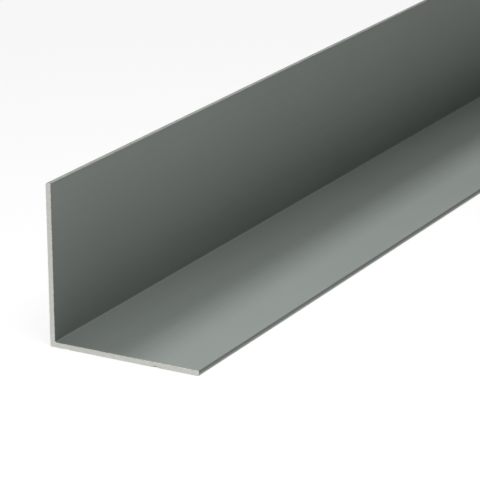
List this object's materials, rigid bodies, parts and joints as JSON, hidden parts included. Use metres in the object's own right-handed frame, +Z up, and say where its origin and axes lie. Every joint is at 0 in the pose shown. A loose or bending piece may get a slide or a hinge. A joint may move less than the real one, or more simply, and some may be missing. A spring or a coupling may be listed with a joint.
{
  "type": "aluminium angle profile",
  "caption": "Long equal-leg aluminium angle, thin walled, satin anodised with bare sawn ends; edge trim, corner guard or light framing stock.",
  "frame": {"origin": "middle of the footprint, at floor level, halfway along the length", "axes": "+Y along the length, +X across the flat leg towards its tip, +Z up the upright leg, which stands at the -X edge"},
  "size_m": [0.05, 1, 0.05],
  "materials": {
    "satin_anodised_aluminium": "satin anodised, with bare sawn metal on the two end faces"
  },
  "bodies": {
    "root": {"angle_profile": "satin_anodised_aluminium"}
  },
  "joints": []
}
